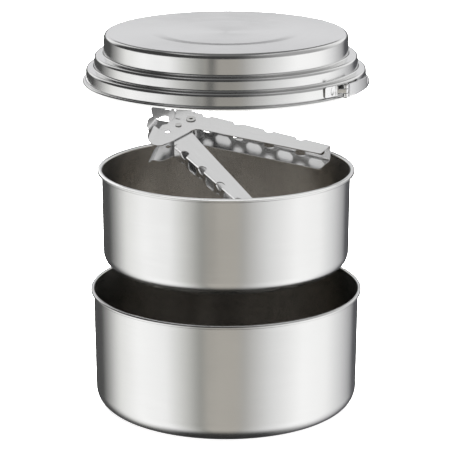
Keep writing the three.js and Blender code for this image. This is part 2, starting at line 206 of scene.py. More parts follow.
# ---- meshes ----
def piece(name, mesh, body, materials, matrix=Matrix.Identity(4)):
    """A finished mesh as a piece that rides on a body and stands for the CAD node of its name."""
    obj = bpy.data.objects.new(name + "_fine", mesh)
    bpy.context.scene.collection.objects.link(obj)
    obj.matrix_world = matrix
    for material in materials:
        mesh.materials.append(material)
    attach(obj, body)
    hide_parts(name)


def lathe(name, outline, segments, inner_from=None):
    """Turns an outline of (radius, height) points round Z. Rings from inner_from on take the
    second material."""
    mesh = bpy.data.meshes.new(name)
    bm = bmesh.new()
    rings = []
    for r, z in outline:
        if r < ON_AXIS:
            rings.append([bm.verts.new((0, 0, z * MM))])
            continue
        turns = [2 * math.pi * k / segments for k in range(segments)]
        rings.append([bm.verts.new((r * MM * math.cos(a), r * MM * math.sin(a), z * MM)) for a in turns])
    pairs = [(rings[i], rings[(i + 1) % len(rings)], i) for i in range(len(rings))]
    for low, high, i in pairs:
        if len(low) == 1 and len(high) == 1:
            continue
        for k in range(segments):
            n = (k + 1) % segments
            corners = [low[k % len(low)], low[n % len(low)], high[n % len(high)], high[k % len(high)]]
            face = bm.faces.new(list(dict.fromkeys(corners)))
            face.smooth = True
            face.material_index = int(inner_from is not None and i >= inner_from)
    bmesh.ops.recalc_face_normals(bm, faces=bm.faces)
    bm.to_mesh(mesh)
    bm.free()
    return mesh


def inside(point, loop):
    """Whether a flat point lies in a closed loop."""
    hit = False
    for a, b in zip(loop, loop[1:] + loop[:1]):
        if (a.y > point.y) != (b.y > point.y):
            if point.x < a.x + (b.x - a.x) * (point.y - a.y) / (b.y - a.y):
                hit = not hit
    return hit


def folded_sheet(name, outline, holes, creases, fold, thickness):
    """A blank cut from flat sheet, then folded. Outline, holes and creases are drawn flat, and
    fold gives the place in space of a flat point."""
    points, edges = [], []
    for loop in [outline, *holes]:
        first = len(points)
        points += loop
        edges += [(first + i, first + (i + 1) % len(loop)) for i in range(len(loop))]
    for line in creases:
        first = len(points)
        points += [Vector(p) for p in line]
        edges += [(first + i, first + i + 1) for i in range(len(line) - 1)]
    flat, _, faces, *_ = delaunay_2d_cdt(points, edges, [], 0, WELD)
    kept = []
    for face in faces:
        centre = sum((flat[i] for i in face), Vector((0, 0))) / len(face)
        if inside(centre, outline) and not any(inside(centre, hole) for hole in holes):
            kept.append(face)
    mesh = bpy.data.meshes.new(name)
    mesh.from_pydata([fold(p) * MM for p in flat], [], kept)
    bm = bmesh.new()
    bm.from_mesh(mesh)
    bmesh.ops.delete(bm, geom=[v for v in bm.verts if not v.link_faces], context="VERTS")
    bm.to_mesh(mesh)
    bm.free()
    return thickened(mesh, thickness)


def thickened(mesh, thickness):
    """The surface given its thickness, with softened edges."""
    obj = bpy.data.objects.new(mesh.name + "_blank", mesh)
    bpy.context.scene.collection.objects.link(obj)
    solid = obj.modifiers.new("sheet", "SOLIDIFY")
    solid.thickness = thickness * MM
    solid.offset = 0
    solid.use_even_offset = True
    bevel = obj.modifiers.new("edges", "BEVEL")
    bevel.width = EDGE_BEVEL * MM
    bevel.segments = 2
    bevel.limit_method = "ANGLE"
    bevel.angle_limit = math.radians(BEVEL_ANGLE)
    bevel.use_clamp_overlap = False
    normals = obj.modifiers.new("normals", "WEIGHTED_NORMAL")
    normals.weight = 100
    normals.keep_sharp = False
    for face in mesh.polygons:
        face.use_smooth = True
    graph = bpy.context.evaluated_depsgraph_get()
    finished = bpy.data.meshes.new_from_object(obj.evaluated_get(graph))
    finished.name = mesh.name + "_sheet"
    bpy.data.objects.remove(obj)
    bpy.data.meshes.remove(mesh)
    return finished


# ---- materials ----
class Nodes:
    """Short names for making and linking shader nodes."""

    def __init__(self, tree):
        self.tree = tree
        tree.nodes.clear()

    def add(self, kind, inputs=(), **settings):
        node = self.tree.nodes.new(kind)
        for key, value in settings.items():
            setattr(node, key, value)
        for key, value in dict(inputs).items():
            if isinstance(value, bpy.types.NodeSocket):
                self.tree.links.new(value, node.inputs[key])
            else:
                node.inputs[key].default_value = value
        return node

    def math(self, operation, *values):
        node = self.add("ShaderNodeMath", operation=operation)
        for i, value in enumerate(values):
            if isinstance(value, bpy.types.NodeSocket):
                self.tree.links.new(value, node.inputs[i])
            else:
                node.inputs[i].default_value = value
        return node.outputs[0]

    def span(self, value, low, high, to_low, to_high):
        inputs = {"Value": value, "From Min": low, "From Max": high, "To Min": to_low, "To Max": to_high}
        return self.add("ShaderNodeMapRange", inputs).outputs[0]

    def scaled(self, vector, factors):
        return self.add("ShaderNodeMapping", {"Vector": vector, "Scale": factors}).outputs[0]


FINE_GRAIN = (55.0, 2600.0, 2.0)  # noise scale along and across the brushing, and its detail
BROAD_GRAIN = (14.0, 520.0, 2.0)
SCRATCH_GRAIN = (160.0, 5200.0, 0.0)
FINE_SHARE, SCRATCH_WEIGHT = 0.75, 0.3
NOISE = (0.3, 0.7)  # where the noise mostly stays
SCRATCHED = (0.72, 0.80)  # only its rare peaks are scratches
SMUDGES = {"scale": 34.0, "detail": 3.0}
SMUDGE_SHADE = (*NOISE, 0.985, 1.01)  # from the noise to a factor on the colour
SMUDGE_ROUGH = (0.35, 0.7, -0.015, 0.03)  # from the noise to what is added to the roughness


def steel(name, colour, roughness, aniso, lines, streak, depth):
    """Stainless steel: base colour, mean roughness, anisotropy, what the brushing follows ("round"
    the object's Z axis or "along" its X axis), how strongly it streaks, and its depth in metres."""
    material = bpy.data.materials.new(name)
    material.use_nodes = True
    n = Nodes(material.node_tree)
    spot = n.add("ShaderNodeTexCoord").outputs["Object"]
    spun = lines == "round"
    if spun:
        axes = n.add("ShaderNodeSeparateXYZ", {0: spot})
        radius = n.math("SQRT", n.math("ADD", n.math("MULTIPLY", axes.outputs[0], axes.outputs[0]),
                                       n.math("MULTIPLY", axes.outputs[1], axes.outputs[1])))

    def grain(slow, fast, detail):
        """Noise that changes slowly along the brushing and fast across it."""
        vector = n.scaled(spot, (slow, slow if spun else fast, fast))
        w = n.math("MULTIPLY", radius, fast) if spun else 0.0
        inputs = {"Vector": vector, "W": w, "Scale": 1.0, "Detail": detail, "Roughness": 0.6}
        return n.add("ShaderNodeTexNoise", inputs, noise_dimensions="4D").outputs[0]

    fine, broad, scratches = grain(*FINE_GRAIN), grain(*BROAD_GRAIN), grain(*SCRATCH_GRAIN)
    inputs = {"Vector": spot, "Scale": SMUDGES["scale"], "Detail": SMUDGES["detail"]}
    smudge = n.add("ShaderNodeTexNoise", inputs).outputs[0]
    mixed = n.math("ADD", n.math("MULTIPLY", fine, FINE_SHARE), n.math("MULTIPLY", broad, 1 - FINE_SHARE))
    shade = n.math("MULTIPLY", n.span(mixed, *NOISE, 1 - streak, 1 + 0.4 * streak),
                   n.span(smudge, *SMUDGE_SHADE))
    tint = n.add("ShaderNodeVectorMath", {0: colour, 1: n.add("ShaderNodeCombineXYZ",
                 {0: shade, 1: shade, 2: shade}).outputs[0]}, operation="MULTIPLY").outputs[0]
    rough = n.math("ADD", n.span(mixed, *NOISE, roughness * (1 + 2 * streak), roughness * (1 - streak)),
                   n.span(smudge, *SMUDGE_ROUGH))
    rare = n.span(scratches, *SCRATCHED, 0.0, 1.0)
    height = n.math("SUBTRACT", mixed, n.math("MULTIPLY", rare, SCRATCH_WEIGHT))
    bump = n.add("ShaderNodeBump", {"Strength": 0.5, "Distance": depth, "Height": height})
    shader = n.add("ShaderNodeBsdfPrincipled", {"Base Color": tint, "Metallic": 1.0, "Roughness": rough,
                   "Anisotropic": aniso, "Anisotropic Rotation": 0.25 if spun else 0.0,
                   "Normal": bump.outputs[0]})
    if aniso:
        tangent = n.add("ShaderNodeTangent", direction_type="RADIAL", axis="Z" if spun else "X")
        n.tree.links.new(tangent.outputs[0], shader.inputs["Tangent"])
    n.add("ShaderNodeOutputMaterial", {"Surface": shader.outputs[0]})
    return material


POT_OUTSIDE = steel("brushed_outside", (0.63, 0.63, 0.625), 0.20, 0.8, "round", 0.02, 1.0e-6)
# The insides' colour is darker and warmer than the outside's: painted shade for the pots' insides and the
# lid's underside. Its higher roughness and stronger streaks are the inner finish.
SHADED_INSIDE = steel("brushed_inside_painted_shade", (0.54, 0.52, 0.49), 0.22, 0.8, "round", 0.08, 0.7e-6)
LID_OUTSIDE = steel("spun_lid", (0.67, 0.67, 0.665), 0.15, 0.6, "round", 0.02, 1.0e-6)
SHEET_STEEL = steel("pressed_sheet", (0.64, 0.64, 0.64), 0.20, 0.0, "along", 0.06, 1.5e-6)
GRIP_STEEL = steel("bright_strip", (0.66, 0.66, 0.66), 0.18, 0.0, "along", 0.05, 1.5e-6)
RIVET_STEEL = steel("turned_rivet", (0.55, 0.55, 0.54), 0.30, 0.0, "round", 0.10, 2.0e-6)


# ---- pots and lid ----
def spun_sheet(name, corners, base, body, materials, inside_first, lip=math.inf):
    """A vessel spun from sheet: its mid-sheet path starts on the axis and ends at its free edge.
    The finish of its first side is carried over the edge as far in as the lip's radius."""
    first, edge, second = sheet_sides(rounded_path(corners), SHEET)
    outline = [(p.x, p.y + base) for p in first + edge + second]
    turned_over = sum(p.x > lip for p in second)
    mesh = lathe(name, outline, TURNED_SEGMENTS, len(first) + len(edge) // 2 + turned_over)
    materials = materials[::-1] if inside_first else materials
    piece(name, mesh, body, materials)


def pot(name, size):
    low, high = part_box(name)
    rim, height = high.x / MM, (high.z - low.z) / MM
    half = SHEET / 2
    corners = [
        (0, half, 0),
        (size["bottom"] - half, half, size["corner"]),
        (size["top"] - half, height - half, size["flare"]),
        (rim - half, height - half, RIM_ROLL["radius"]),
        (rim - half, height - half - RIM_ROLL["drop"], RIM_ROLL["radius"]),
        (rim - half - RIM_ROLL["tuck"], height - half - RIM_ROLL["drop"], 0),
    ]
    lip = size["top"] - SHEET + LIP_MARGIN
    spun_sheet(name, corners, low.z / MM, name, (POT_OUTSIDE, SHADED_INSIDE), False, lip)


def lid():
    low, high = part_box("lid")
    height = (high.z - low.z) / MM
    half = SHEET / 2
    top = height - half
    upper, middle, lower = LID_WALLS
    upper_ledge, lower_ledge = LID_LEDGES
    bead, bead_top = BEAD["outer"], BEAD["height"]
    corners = [
        (0, top - PANEL["drop"], 0),
        (PANEL["inner"], top - PANEL["drop"], PANEL["fillet"]),
        (PANEL["outer"], top, PANEL["fillet"]),
        (upper - LID_DRAFT, top, LID_FILLETS["edge"]),
        (upper + LID_DRAFT, upper_ledge + LEDGE_FALL, LID_FILLETS["ledge_inner"]),
        (middle - LID_DRAFT, upper_ledge, LID_FILLETS["ledge_outer"]),
        (middle + LID_DRAFT, lower_ledge + LEDGE_FALL, LID_FILLETS["ledge_inner"]),
        (lower - LID_DRAFT, lower_ledge, LID_FILLETS["ledge_outer"]),
        (lower + LID_DRAFT, bead_top, LID_FILLETS["bead_inner"]),
        (bead, bead_top, BEAD["upper_fillet"]),
        (bead, half, BEAD["lower_fillet"]),
        (bead - BEAD["tuck"], half, 0),
    ]
    spun_sheet("lid", corners, low.z / MM, "lid", (LID_OUTSIDE, SHADED_INSIDE), True)


# ---- the lid's folding grips, drawn with the hinge pin on +X and heights from the lid's edge ----
def plan_length(plan):
    """How far along a plan line each of its points lies."""
    lengths = [0.0]
    for a, b in zip(plan, plan[1:]):
        lengths.append(lengths[-1] + (b - a).length)
    return lengths


def follow(plan, lengths, distance):
    """The plan point at a distance along the plan line, and the line's left side there."""
    i = 0
    while i < len(plan) - 2 and lengths[i + 1] < distance:
        i += 1
    step = plan[i + 1] - plan[i]
    share = (distance - lengths[i]) / (lengths[i + 1] - lengths[i])
    return plan[i] + step * share, Vector((-step.y, step.x)).normalized()


def upright_sheet(name, plan, outline, marks=(), dent=None):
    """A strip that stands on edge and follows a plan line; its outline is (distance, height)."""
    lengths = plan_length(plan)
    heights = [p.y for p in outline]
    low, high = min(heights) - OVERSHOOT, max(heights) + OVERSHOOT
    creases = [[(d, low), (d, high)] for d in lengths[1:-1]]

    def fold(p):
        spot, left = follow(plan, lengths, p.x)
        spot = spot + left * (dent(p) if dent else 0.0)
        return Vector((spot.x, spot.y, p.y))

    return folded_sheet(name, outline, [], creases + list(marks), fold, GRIP_SHEET)


def eased(share):
    """A share from 0 to 1 that starts and ends gently."""
    return share * share * (3 - 2 * share)


def ring_point(radius, degrees):
    return Vector((radius * math.cos(math.radians(degrees)), radius * math.sin(math.radians(degrees))))


def ellipse(centre, half_x, half_y, count=28):
    turns = [2 * math.pi * k / count for k in range(count)]
    return [Vector((centre[0] + half_x * math.cos(a), centre[1] + half_y * math.sin(a))) for a in turns]


def grip_mesh(name, pin_radius):
    """The folding plate: an eye round the pin, an easy bend and a plate that ends in a roll."""
    pin = Vector((pin_radius, 0))
    eye = arc_points(pin, ring_point(EYE_RADIUS, -EYE_WRAP["grip"]), math.radians(EYE_WRAP["grip"]), 15)
    start = eye[-1]
    land = ring_point(pin_radius, GRIP_FOOT)
    ease = []
    for k in range(1, 8):
        y = start.y + (land.y - start.y) * k / 8
        ease.append(Vector((start.x + (land.x - start.x) * eased(k / 8), y)))
    steps = 20
    span = GRIP_ARC - GRIP_END - GRIP_FOOT
    plate = [ring_point(pin_radius, GRIP_FOOT + span * k / steps) for k in range(steps + 1)]
    along = (plate[-1] - plate[-2]).normalized()
    centre = plate[-1] + Vector((-along.y, along.x)) * GRIP_ROLL["radius"]
    roll = arc_points(centre, plate[-1] - centre, math.radians(GRIP_ROLL["sweep"]), 20)[1:]
    plan = eye + ease + plate + roll
    lengths = plan_length(plan)
    notch = lengths[len(eye) + 3]
    mid_low, mid_high = KNUCKLE_LOW - GAP, KNUCKLE_HIGH + GAP
    end = lengths[-1]
    outline = rounded_loop(
        [(0, GRIP_LOW), (end, GRIP_LOW, FREE_CORNER), (end, GRIP_HIGH, FREE_CORNER), (0, GRIP_HIGH),
         (0, mid_high, SLOT_CORNER), (notch, mid_high), (notch, mid_low), (0, mid_low, SLOT_CORNER)],
        KNUCKLE_CORNER)
    return upright_sheet(name, plan, outline)


def bracket_mesh(name, pin_radius):
    """The leaf on the lid's skirt, with its weld mark, and the tongue rolled round the pin."""
    pin = Vector((pin_radius, 0))
    steps = 16
    span = LEAF["to"] - LEAF["from"]
    leaf = [ring_point(LEAF["radius"], LEAF["from"] + span * k / steps) for k in range(steps + 1)]
    foot = leaf[-1]
    away = pin - foot
    turn = math.asin(EYE_RADIUS / away.length)
    heading = rotated(away.normalized(), -turn)
    touch = foot + heading * math.sqrt(away.length ** 2 - EYE_RADIUS ** 2)
    eye = arc_points(pin, touch - pin, math.radians(EYE_WRAP["bracket"]), 15)
    plan = leaf + eye
    lengths = plan_length(plan)
    shoulder = lengths[len(leaf) - 1] + LEAF["shoulder"]
    end = lengths[-1]
    outline = rounded_loop(
        [(0, LEAF["low"], FREE_CORNER), (shoulder, LEAF["low"], SHOULDER_CORNER), (shoulder, KNUCKLE_LOW),
         (end, KNUCKLE_LOW), (end, KNUCKLE_HIGH), (shoulder, KNUCKLE_HIGH),
         (shoulder, GRIP_HIGH, SHOULDER_CORNER), (0, GRIP_HIGH, FREE_CORNER)], KNUCKLE_CORNER)
    mark_at = (math.radians(WELD_MARK["angle"] - LEAF["from"]) * LEAF["radius"], WELD_MARK["height"])
    size = (WELD_MARK["half_width"], WELD_MARK["half_height"])
    marks = []
    for share in MARK_RINGS:
        ring = ellipse(mark_at, size[0] * share, size[1] * share)
        marks.append(ring + ring[:1])

    def dent(p):
        reach = math.hypot((p.x - mark_at[0]) / size[0], (p.y - mark_at[1]) / size[1])
        return WELD_MARK["depth"] * eased(min(1.0, max(0.0, (1.0 - reach) / WELD_MARK["slope"])))

    return upright_sheet(name, plan, outline, marks, dent)


def turned_pin(name, shaft, head, low, high, head_height, bore=0.0):
    """A rivet drawn round Z: two heads whose inner faces are at low and high."""
    ease = min(PIN_EASE * head_height, PIN_FILLETS["head"])
    under, root, mouth = PIN_FILLETS["under_head"], PIN_FILLETS["shaft"], PIN_FILLETS["bore"]
    bottom, top = low - head_height, high + head_height
    outer = [(head, bottom, ease), (head, low, under), (shaft, low, root), (shaft, high, root),
             (head, high, under), (head, top, ease)]
    if bore:
        loop = rounded_loop([(bore, bottom, mouth), *outer, (bore, top, mouth)], under, PIN_FACET)
    else:
        loop = rounded_path([(0, bottom, 0), *outer, (0, top, 0)], PIN_FACET, root)
    return lathe(name, [(p.x, p.y) for p in loop], PIN_SEGMENTS)


def joint(name):
    """The frame's joint of that name."""
    return next(j for j in frame["joints"] if j["name"] == name)


def grips():
    lid_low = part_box("lid")[0].z
    for side in GRIP_SIDES:
        at = Vector(joint("lid_grip_" + side + "_fold")["pos_m"])
        pin_radius = at.to_2d().length / MM
        turn = Matrix.Rotation(math.atan2(at.y, at.x), 4, "Z")
        place = Matrix.Translation((0, 0, lid_low)) @ turn
        plate, bracket, pin = ("lid_grip_" + side, "lid_grip_bracket_" + side, "lid_grip_pin_" + side)
        piece(plate, grip_mesh(plate, pin_radius), plate, [GRIP_STEEL], place)
        piece(bracket, bracket_mesh(bracket, pin_radius), "lid", [GRIP_STEEL], place)
        mesh = turned_pin(pin, GRIP_PIN["shaft"], GRIP_PIN["head"], GRIP_LOW - GAP, GRIP_HIGH + GAP,
                          GRIP_PIN["head_height"])
        shift = Matrix.Translation((pin_radius * MM, 0, 0))
        piece(pin, mesh, "lid", [RIVET_STEEL], place @ shift)


# ---- pot lifter, drawn in its own frame: u along the outer arm, v across its plates, z through ----
OUTER_BACK = ((-2, -11.9), (101, -10.2))
OUTER_EDGE = [  # from the web's head end round the jaw to the handle's end
    (-9, -10.6), (-18.4, -8.1, 2.0), (-19.8, -5.6, 2.0), (-18.3, -0.8), (-12.1, 9.8), (-11.6, 12.6),
    (-14.1, 15.1, 1.5), (-13.6, 20.4, 0.3),
]
OUTER_TIP = [(-3, 41.6, 2.0), (-0.6, 39.8, 2.0), (2.6, 32.5), (7.6, 13.6, 3.0), (9, 10.4, 3.0),
             (13, 9.3, 2.0), (100, 4.1, 1.6)]
OUTER_LIP = ((-13.6, 20.4), (-7.2, 41.7))
LIP = {"length": 4.6, "angle": 45.0, "radius": 1.2, "start": -0.5, "outward": 1}  # 1: bent outwards

INNER_BACK = ((26, 24.8), (117, 18.6))
INNER_EDGE = [
    (19, 21.5, 3.0), (6, 14.5, 3.0), (-5, 12, 2.0), (-11, 9.6, 1.5), (-14.1, 11), (-16.8, 12.8),
    (-15.2, 17.8, 0.3),
]
INNER_TIP = [(-7.5, 30.2), (-13, 27.4), (-16.8, 25, 1.5), (-18.8, 20.6, 1.2), (-29.7, 17.1, 1.2),
             (-31, 14.6, 1.2), (-19.6, 4.6, 2.0), (-6, -7.6, 4.0), (0, -9, 4.0), (6.5, -6.6, 3.0),
             (13, 6.2, 3.0), (30, 7, 4.0), (117, 8.8, 1.6)]
INNER_TAB = ((-15.2, 17.8), (-3.9, 30))
TAB = {"length": 2.45, "angle": 90.0, "radius": 1.0, "start": -1.45, "outward": -1}

CORNER = 1.0  # a plate's radius at a point that has none of its own
RELIEF = {"width": 0.6, "depth": 0.8, "corner": 0.25, "neck": 0.4, "neck_corner": 0.3}  # frees the web
BEND_STEPS, FLANGE_STEPS = 8, 6
FLANGE_NOTCH = {"from": 0.5, "to": 1.1, "depth": 0.2, "corner": 0.2}  # frees the flange's first end
FLANGE_SHAPE = {"first": 2.0, "last": 1.2, "corner": 1.4, "foot": 0.8}  # ends of its free edge, radii
FLANGE_FOLD = {"before": 0.2, "after": 1.0, "beyond": 2.0}  # margins of the folded region

TONGUE_SLIT = [  # frees a spring tongue in the head: along its near side, then back
    (-17.8, -10.4), (-13.2, -2.6), (-10.6, 2.9), (-7.2, 2.4), (-7.0, 3.5), (-11.3, 4.1),
    (-14.146, -2.05), (-18.746, -9.85),
]
TONGUE_SLIT_CORNER = 0.5


class Channel:
    """A channel arm folded from one blank. The blank's s runs along the back from the web's head
    end and its t across, 0 in the middle of the web; back is a line on the web's outer face."""

    def __init__(self, back, inside_left, inset, flange, flange_line, flange_left):
        self.start = Vector(back[0])
        run = Vector(back[1]) - self.start
        self.length = run.length
        self.along = run.normalized()
        self.inward = Vector((-self.along.y, self.along.x)) * (1 if inside_left else -1)
        self.half = LIFTER_WIDTH / 2 - inset - ARM_SHEET / 2
        self.flat = self.half - BEND_RADIUS
        self.bent = self.flat + BEND_RADIUS * math.pi / 2
        self.depth = ARM_SHEET / 2 + BEND_RADIUS
        self.flange = flange
        line = Vector(flange_line[1]) - Vector(flange_line[0])
        self.flange_length = line.length
        self.flange_start = Vector(flange_line[0])
        self.flange_along = line.normalized()
        side = Vector((-self.flange_along.y, self.flange_along.x))
        self.flange_out = side if flange_left else -side

    def blank(self, u, v, side=1):
        """The blank point of a point of a plate."""
        away = Vector((u, v)) - self.start
        return Vector((away.dot(self.along), side * (self.bent - self.depth + away.dot(self.inward))))

    def fold(self, p):
        """The place in space of a blank point: the web, then the bends, then the plates."""
        s, t, side = p.x, abs(p.y), math.copysign(1, p.y)
        if s >= -RELIEF["width"] / 2 and t <= self.flat:
            depth, across = ARM_SHEET / 2, t
        elif s >= -RELIEF["width"] / 2 and t < self.bent:
            turn = (t - self.flat) / BEND_RADIUS
            depth = ARM_SHEET / 2 + BEND_RADIUS * (1 - math.cos(turn))
            across = self.flat + BEND_RADIUS * math.sin(turn)
        else:
            depth, across = self.depth + t - self.bent, self.half
        spot = self.start + self.along * s + self.inward * depth
        spot, rise = self.folded_flange(spot)
        return Vector((spot.x, spot.y, LIFTER_WIDTH / 2 + side * (across + rise)))

    def folded_flange(self, spot):
        """Turns what lies past the flange's bend out of the plate's plane."""
        away = spot - self.flange_start
        reach = away.dot(self.flange_along)
        past = away.dot(self.flange_out) - self.flange["start"]
        last = self.flange_length + FLANGE_FOLD["after"]
        if not (0 < past < self.flange["length"] + FLANGE_FOLD["beyond"]
                and FLANGE_FOLD["before"] < reach < last):
            return spot, 0.0
        radius, full = self.flange["radius"], math.radians(self.flange["angle"])
        turn = min(past / radius, full)
        rest = max(0.0, past - radius * full)
        flat = radius * math.sin(turn) + rest * math.cos(full)
        rise = radius * (1 - math.cos(turn)) + rest * math.sin(full)
        return spot + self.flange_out * (flat - past), rise * self.flange["outward"]

    def flange_spot(self, reach, past):
        return self.flange_start + self.flange_along * reach + self.flange_out * past

    def outline(self, edge, tip):
        """The whole blank: one plate's edge, its flange and tip, the handle's end, and the mirror."""
        notch, shape, length = FLANGE_NOTCH, FLANGE_SHAPE, self.flange["length"]
        inner = self.flange["start"] - notch["depth"]
        flange = [(*self.flange_spot(notch["from"], inner), notch["corner"]),
                  (*self.flange_spot(notch["to"], inner), notch["corner"]),
                  (*self.flange_spot(shape["first"], length), shape["corner"]),
                  (*self.flange_spot(self.flange_length - shape["last"], length), shape["corner"]),
                  (*self.flange_spot(self.flange_length, 0), shape["foot"])]
        plate = [(*self.blank(*p[:2]), *(p[2:] or [CORNER])) for p in [*edge, *flange, *tip]]
        relief, deep, corner = -RELIEF["width"], self.bent + RELIEF["depth"], RELIEF["corner"]
        neck = self.bent - self.depth + RELIEF["neck"]
        head = [(0, deep, corner), (relief, deep, corner), (relief, neck, RELIEF["neck_corner"])]
        half = head + plate + [(self.length, self.bent, 0.0)]
        mirror = [(x, -y, r) for x, y, r in reversed(half)]
        return rounded_loop(half + mirror, CORNER)

    def creases(self):
        lines = []
        first, last = -RELIEF["width"] / 2, self.length + OVERSHOOT
        for k in range(BEND_STEPS + 1):
            t = self.flat + (self.bent - self.flat) * k / BEND_STEPS
            lines += [[(first, side * t), (last, side * t)] for side in (1, -1)]
        bend = self.flange["radius"] * math.radians(self.flange["angle"])
        reaches = (FLANGE_FOLD["before"], self.flange_length + FLANGE_FOLD["beyond"])
        for k in range(FLANGE_STEPS + 1):
            past = self.flange["start"] + bend * k / FLANGE_STEPS
            ends = [self.flange_spot(reach, past) for reach in reaches]
            lines += [[self.blank(*end, side) for end in ends] for side in (1, -1)]
        return lines

    def plate_holes(self, loops):
        """Holes drawn in u and v, in both plates."""
        return [[self.blank(p.x, p.y, side) for p in loop] for loop in loops for side in (1, -1)]

    def back_holes(self, first, count):
        """Round holes punched over both bends, and long eight-sided windows between them."""
        holes = []
        a, b, c = WINDOW["length"] / 2, WINDOW["width"] / 2, WINDOW["chamfer"]
        corners = [(a, b - c), (a - c, b), (c - a, b), (-a, b - c),
                   (-a, c - b), (c - a, -b), (a - c, -b), (a, c - b)]
        for k in range(count):
            s = (first + k * HOLE_PITCH - self.start.x) / self.along.x
            t = (self.flat + self.bent) / 2
            holes += [ellipse((s, side * t), *BEND_HOLE, count=36) for side in (1, -1)]
            middle = s + HOLE_PITCH / 2 / self.along.x
            if middle + a < self.length - WINDOW["margin"]:
                holes.append(rounded_loop([(middle + x, y) for x, y in corners], WINDOW["corner"]))
        return holes


def stop_slot():
    """The slot in the inner arm that the stop rivet runs in."""
    radius = math.hypot(STOP["u"], STOP["v"])
    start, end = math.radians(STOP_SLOT["from"]), math.radians(STOP_SLOT["to"])
    half = STOP_SLOT["half_width"]
    origin = Vector((0, 0))
    first, last = rotated(Vector((1, 0)), start), rotated(Vector((1, 0)), end)
    loop = arc_points(origin, first * (radius + half), end - start, 5)
    loop += arc_points(last * radius, last * half, math.pi, 20)[1:-1]
    loop += arc_points(origin, last * (radius - half), start - end, 5)
    loop += arc_points(first * radius, first * -half, math.pi, 20)[1:-1]
    return loop


def lifter():
    squeeze = joint("lifter_squeeze")
    place = Matrix.Translation(squeeze["pos_m"]) @ LIFTER_TURN.to_matrix().to_4x4()
    bore = PIVOT["shaft"] + GAP

    outer = Channel(OUTER_BACK, True, 0.0, LIP, OUTER_LIP, True)
    holes = outer.plate_holes([
        ellipse((0, 0), bore, bore),
        ellipse((STOP["u"], STOP["v"]), STOP["shaft"] + GAP, STOP["shaft"] + GAP),
        ellipse((PRESS_HOLE["u"], PRESS_HOLE["v"]), PRESS_HOLE["radius"], PRESS_HOLE["radius"]),
        rounded_loop(TONGUE_SLIT, TONGUE_SLIT_CORNER),
    ])
    name = "lifter_outer_arm"
    mesh = folded_sheet(name, outer.outline(OUTER_EDGE, OUTER_TIP), holes + outer.back_holes(**OUTER_HOLES),
                        outer.creases(), outer.fold, ARM_SHEET)
    piece(name, mesh, "lifter_outer", [SHEET_STEEL], place)

    inset = ARM_SHEET + GAP
    inner = Channel(INNER_BACK, False, inset, TAB, INNER_TAB, False)
    holes = inner.plate_holes([ellipse((0, 0), bore, bore), stop_slot()])
    name = "lifter_inner_arm"
    mesh = folded_sheet(name, inner.outline(INNER_EDGE, INNER_TIP), holes + inner.back_holes(**INNER_HOLES),
                        inner.creases(), inner.fold, ARM_SHEET)
    opened = place @ Matrix.Rotation(OPEN_ANGLE, 4, "Z")
    piece(name, mesh, "lifter_inner", [SHEET_STEEL], opened)

    low, high = -GAP, LIFTER_WIDTH + GAP
    mesh = turned_pin("lifter_pivot_rivet", PIVOT["shaft"], PIVOT["head"], low, high,
                      PIVOT["thickness"], PIVOT["bore"])
    piece("lifter_pivot_rivet", mesh, "lifter_outer", [RIVET_STEEL], place)
    mesh = turned_pin("lifter_stop_rivet", STOP["shaft"], STOP["head"], low, high, STOP["thickness"])
    shift = Matrix.Translation((STOP["u"] * MM, STOP["v"] * MM, 0))
    piece("lifter_stop_rivet", mesh, "lifter_outer", [RIVET_STEEL], place @ shift)


# ---- studio ----
CAMERA = {"lens": 170.4, "distance": 1.45, "tilt": 15.58, "aim_height": 0.1235}  # in metres, degrees
FLOOR_SIZE = 14.0  # metres
FLOOR_GLOW = 0.8  # the floor is a light table
FLOOR_LIGHT = {"size": 5.0, "height": 4.0, "energy": 1500}


def camera():
    data = bpy.data.cameras.new("camera")
    data.sensor_width = 36
    data.lens = CAMERA["lens"]
    cam = bpy.data.objects.new("camera", data)
    bpy.context.scene.collection.objects.link(cam)
    tilt, target = math.radians(CAMERA["tilt"]), Vector((0, 0, CAMERA["aim_height"]))
    cam.location = target + Vector((0, -math.cos(tilt), math.sin(tilt))) * CAMERA["distance"]
    cam.rotation_euler = (math.pi / 2 - tilt, 0, 0)
    data.clip_start, data.clip_end = 0.05, 60
    bpy.context.scene.camera = cam


def floor():
    """The pale floor. It isn't mirrored in the steel, which mirrors the studio instead."""
    bpy.ops.mesh.primitive_plane_add(size=FLOOR_SIZE, location=(0, 0, cad_box[0].z))
    plane = bpy.context.object
    plane.name = "floor"
    material = bpy.data.materials.new("pale_floor")
    material.use_nodes = True
    n = Nodes(material.node_tree)
    shader = n.add("ShaderNodeBsdfPrincipled", {"Base Color": (0.84, 0.84, 0.84, 1), "Roughness": 0.9,
                   "Specular IOR Level": 0.1, "Emission Color": (1, 1, 1, 1),
                   "Emission Strength": FLOOR_GLOW})
    n.add("ShaderNodeOutputMaterial", {"Surface": shader.outputs[0]})
    plane.data.materials.append(material)
    plane.visible_glossy = False


# The studio as the steel mirrors it, by direction from the set. A turn is in degrees round the set
# from the front, towards +X where positive. A height is in degrees above or below the horizon. x and
# y are the parts of the direction that point to the right and to the back.
SCREENS = [  # colours of the side screens
    (-180, (0.07, 0.07, 0.07)), (-138, (0.10, 0.10, 0.10)), (-124, (0.50, 0.50, 0.49)),
    (-106, (1.20, 1.20, 1.18)), (-82, (1.52, 1.52, 1.52)), (-54, (1.42, 1.42, 1.42)),
    (-36, (0.90, 0.90, 0.87)), (-22, (0.45, 0.45, 0.42)), (-15, (0.67, 0.64, 0.58)),
    (10, (0.66, 0.63, 0.57)), (15, (0.62, 0.61, 0.58)), (40, (1.12, 1.12, 1.12)),
    (70, (1.52, 1.52, 1.52)), (97, (1.42, 1.42, 1.42)), (118, (0.98, 0.98, 0.99)),
    (138, (0.50, 0.50, 0.51)), (147, (0.12, 0.12, 0.13)), (180, (0.07, 0.07, 0.07)),
]
BRIGHTEST = 2.0  # what a ramp's full white stands for
